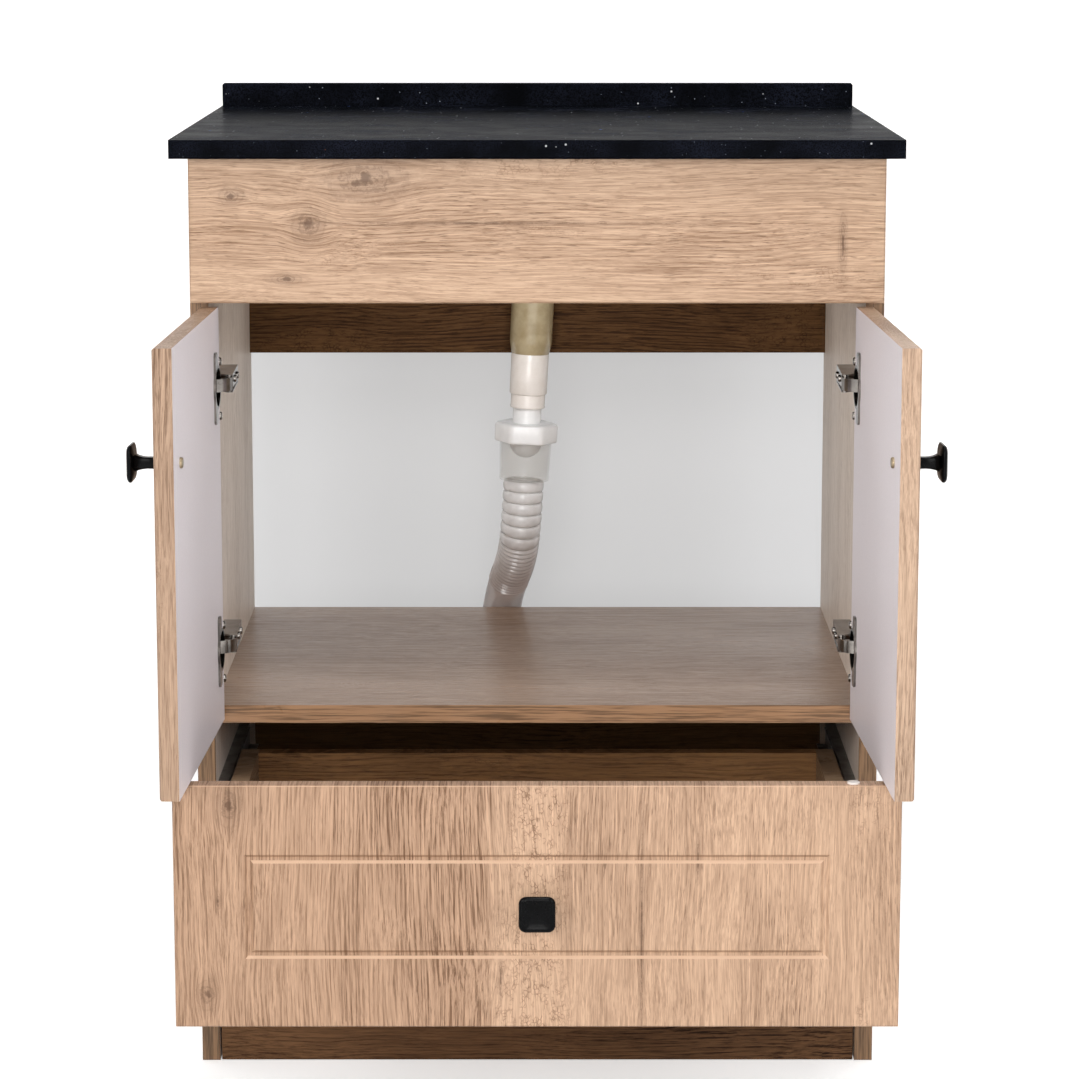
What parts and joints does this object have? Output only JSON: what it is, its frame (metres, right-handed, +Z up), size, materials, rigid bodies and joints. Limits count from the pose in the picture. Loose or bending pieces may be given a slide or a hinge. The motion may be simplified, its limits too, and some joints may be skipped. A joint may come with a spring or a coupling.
{
  "type": "vanity unit",
  "caption": "Floor-standing bathroom vanity unit with a stone counter and upstand, doors on concealed hinges, a drawer on telescopic runners and a flexible waste hose.",
  "frame": {"origin": "on the floor, in the middle of the plinth board's underside", "axes": "+X to the right seen from the front, +Y towards the wall, +Z up"},
  "size_m": [0.651, 0.8173, 0.846],
  "materials": {
    "oak_front": "satin oak-look laminate",
    "carcass_board": "satin laminate",
    "dark_oak": "satin oak-look laminate",
    "drawer_board": "satin laminate",
    "black_stone": "polished, fine bright specks",
    "black_metal": "satin black",
    "nickel": "bright nickel plate",
    "runner_steel": "zinc plate",
    "screw_brass": "yellow zinc plate",
    "cream_plastic": "slightly clear",
    "white_plastic": "gloss",
    "clear_plastic": "cloudy clear",
    "hose_plastic": "cloudy clear",
    "grey_rubber": "matt"
  },
  "bodies": {
    "carcass": {"left_side_panel": "carcass_board", "right_side_panel": "carcass_board", "cabinet_floor": "carcass_board", "front_top_rail": "carcass_board", "rear_top_rail": "dark_oak", "lower_back_panel": "carcass_board", "plinth_board": "dark_oak", "plinth_blocks": "white_plastic", "apron_panel": "oak_front", "countertop": "black_stone", "backsplash": "black_stone", "left_hinge_arms": "nickel", "left_hinge_plates": "nickel", "left_runner_outer": "runner_steel", "right_hinge_arms": "nickel", "right_hinge_plates": "nickel", "right_runner_outer": "runner_steel", "waste_flange": "white_plastic", "waste_tail": "cream_plastic", "waste_coupling": "white_plastic", "waste_neck": "white_plastic", "collar_nut": "white_plastic", "sealing_washer": "grey_rubber", "trap_cup": "clear_plastic", "trap_dome": "grey_rubber", "waste_hose": "hose_plastic", "hose_cuff": "hose_plastic"},
    "left_hinge_link": {"left_hinge_links": "nickel"},
    "left_door": {"left_door_panel": "oak_front", "left_door_knob": "black_metal", "left_knob_screw": "screw_brass", "left_hinge_cups": "nickel"},
    "right_hinge_link": {"right_hinge_links": "nickel"},
    "right_door": {"right_door_panel": "oak_front", "right_door_knob": "black_metal", "right_knob_screw": "screw_brass", "right_hinge_cups": "nickel"},
    "drawer": {"drawer_front": "oak_front", "left_drawer_side": "drawer_board", "right_drawer_side": "drawer_board", "drawer_back": "drawer_board", "drawer_bottom": "drawer_board", "drawer_knob": "black_metal", "drawer_knob_screw": "screw_brass", "drawer_cap": "white_plastic", "left_runner_inner": "runner_steel", "right_runner_inner": "runner_steel"},
    "left_runner_middle": {"left_runner_middle": "runner_steel"},
    "right_runner_middle": {"right_runner_middle": "runner_steel"}
  },
  "joints": [
    {"name": "left_link_turn", "type": "hinge", "parent": "carcass", "child": "left_hinge_link", "pos_m": [-0.267, -0.011, 0.497], "axis": [0, 0, 1], "range_deg": [-42.42, 1.48]},
    {"name": "left_door_swing", "type": "hinge", "parent": "left_hinge_link", "child": "left_door", "pos_m": [-0.27885, -0.0278, 0.497], "axis": [0, 0, -1], "range_deg": [-134.32, 4.38]},
    {"name": "right_link_turn", "type": "hinge", "parent": "carcass", "child": "right_hinge_link", "pos_m": [0.267, -0.011, 0.497], "axis": [0, 0, -1], "range_deg": [-42.42, 1.48]},
    {"name": "right_door_swing", "type": "hinge", "parent": "right_hinge_link", "child": "right_door", "pos_m": [0.27885, -0.0278, 0.497], "axis": [0, 0, 1], "range_deg": [-134.32, 4.38]},
    {"name": "drawer_slide", "type": "slide", "parent": "carcass", "child": "drawer", "axis": [0, -1, 0], "range_m": [-0.22, 0.13]},
    {"name": "left_runner_slide", "type": "slide", "parent": "carcass", "child": "left_runner_middle", "axis": [0, -1, 0], "range_m": [-0.1101, 0.0651]},
    {"name": "right_runner_slide", "type": "slide", "parent": "carcass", "child": "right_runner_middle", "axis": [0, -1, 0], "range_m": [-0.1101, 0.0651]}
  ],
  "couplings": [
    {"joint": "left_link_turn", "follows": "left_door_swing", "ratio": 0.31507},
    {"joint": "right_link_turn", "follows": "right_door_swing", "ratio": 0.31507},
    {"joint": "left_runner_slide", "follows": "drawer_slide", "ratio": 0.5},
    {"joint": "right_runner_slide", "follows": "drawer_slide", "ratio": 0.5}
  ]
}
